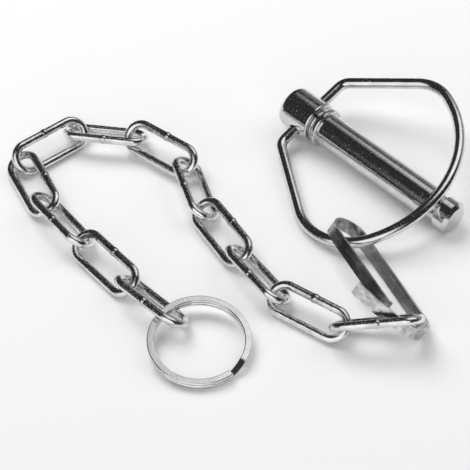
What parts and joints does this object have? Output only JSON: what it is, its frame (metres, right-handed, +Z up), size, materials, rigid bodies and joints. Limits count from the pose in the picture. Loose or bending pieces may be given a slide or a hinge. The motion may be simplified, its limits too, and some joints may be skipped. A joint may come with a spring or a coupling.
{
  "type": "locking pin with chain",
  "caption": "Round locking pin with a crowned head and a hinged wire bail, tethered by a spring clip and a welded long-link chain to a split ring.",
  "frame": {"origin": "on the table, under the centre of the whole part as it lies", "axes": "+X to the right along the longest extent, +Y away from the viewer, +Z up from the table"},
  "size_m": [0.1638, 0.1335, 0.0216],
  "materials": {
    "plated_pin": "bright zinc plating over turned steel",
    "plated_wire": "bright zinc plating over drawn wire",
    "spring_steel": "satin rolled spring strip",
    "chain_steel": "tumbled bright steel, slightly dark",
    "plated_ring": "bright nickel plating"
  },
  "bodies": {
    "pin": {"pin_body": "plated_pin"},
    "bail": {"bail_wire": "plated_wire"},
    "clip": {"spring_clip": "spring_steel"},
    "link_12": {"link_12": "chain_steel"},
    "link_11": {"link_11": "chain_steel"},
    "link_10": {"link_10": "chain_steel"},
    "link_09": {"link_09": "chain_steel"},
    "link_08": {"link_08": "chain_steel"},
    "link_07": {"link_07": "chain_steel"},
    "link_06": {"link_06": "chain_steel"},
    "link_05": {"link_05": "chain_steel"},
    "link_04": {"link_04": "chain_steel"},
    "link_03": {"link_03": "chain_steel"},
    "link_02": {"link_02": "chain_steel"},
    "link_01": {"link_01": "chain_steel"},
    "ring": {"split_ring": "plated_ring"}
  },
  "joints": [
    {"name": "bail_pivot", "type": "hinge", "parent": "pin", "child": "bail", "pos_m": [0.02731, 0.05268, 0.00789], "axis": [-0.6911, -0.6818, -0.2401], "range_deg": [0, 170]},
    {"name": "clip_swing", "type": "hinge", "parent": "bail", "child": "clip", "pos_m": [0.04011, -0.0072, 0.00453], "axis": [-0.9719, -0.0091, -0.2353], "range_deg": [-5, 45]},
    {"name": "link_12_swing", "type": "hinge", "parent": "clip", "child": "link_12", "pos_m": [0.0554, -0.0479, 0.00937], "axis": [0.5317, 0.2571, 0.807], "range_deg": [-5, 20]},
    {"name": "link_11_swing", "type": "hinge", "parent": "link_12", "child": "link_11", "pos_m": [0.03742, -0.04294, 0.006], "axis": [0.0962, -0.7208, -0.6865], "range_deg": [-45, 35]},
    {"name": "link_10_swing", "type": "hinge", "parent": "link_11", "child": "link_10", "pos_m": [0.01224, -0.03157, 0.00274], "axis": [0.493, 0.3452, 0.7986], "range_deg": [-40, 45]},
    {"name": "link_09_swing", "type": "hinge", "parent": "link_10", "child": "link_09", "pos_m": [0.00182, -0.0147, 0.0038], "axis": [0.493, 0.3452, 0.7986], "range_deg": [-45, 45]},
    {"name": "link_08_swing", "type": "hinge", "parent": "link_09", "child": "link_08", "pos_m": [-0.01202, 0.00591, 0.00588], "axis": [-0.4793, -0.288, 0.829], "range_deg": [-35, 45]},
    {"name": "link_07_swing", "type": "hinge", "parent": "link_08", "child": "link_07", "pos_m": [-0.02072, 0.02985, 0.00677], "axis": [0.3868, 0.5134, -0.766], "range_deg": [-45, 45]},
    {"name": "link_06_swing", "type": "hinge", "parent": "link_07", "child": "link_06", "pos_m": [-0.03583, 0.04073, 0.00648], "axis": [0.3868, 0.5134, -0.766], "range_deg": [-45, 40]},
    {"name": "link_05_swing", "type": "hinge", "parent": "link_06", "child": "link_05", "pos_m": [-0.05511, 0.04903, 0.00461], "axis": [0.0588, 0.4185, 0.9063], "range_deg": [-45, 5]},
    {"name": "link_04_swing", "type": "hinge", "parent": "link_05", "child": "link_04", "pos_m": [-0.07842, 0.03231, 0.00629], "axis": [-0.1405, 0.737, 0.6612], "range_deg": [-40, 15]},
    {"name": "link_03_swing", "type": "hinge", "parent": "link_04", "child": "link_03", "pos_m": [-0.06291, 0.01209, 0.00556], "axis": [0.4742, 0.3705, 0.7986], "range_deg": [-45, 45]},
    {"name": "link_02_swing", "type": "hinge", "parent": "link_03", "child": "link_02", "pos_m": [-0.04986, -0.00555, 0.0033], "axis": [-0.422, -0.3669, 0.829], "range_deg": [-45, 40]},
    {"name": "link_01_swing", "type": "hinge", "parent": "link_02", "child": "link_01", "pos_m": [-0.03336, -0.02432, 0.00588], "axis": [0.4465, 0.4624, 0.766], "range_deg": [-45, 45]},
    {"name": "ring_swing", "type": "hinge", "parent": "link_01", "child": "ring", "pos_m": [-0.02259, -0.03734, 0.00484], "axis": [0.7303, 0.6805, 0.06], "range_deg": [0, 45]}
  ]
}
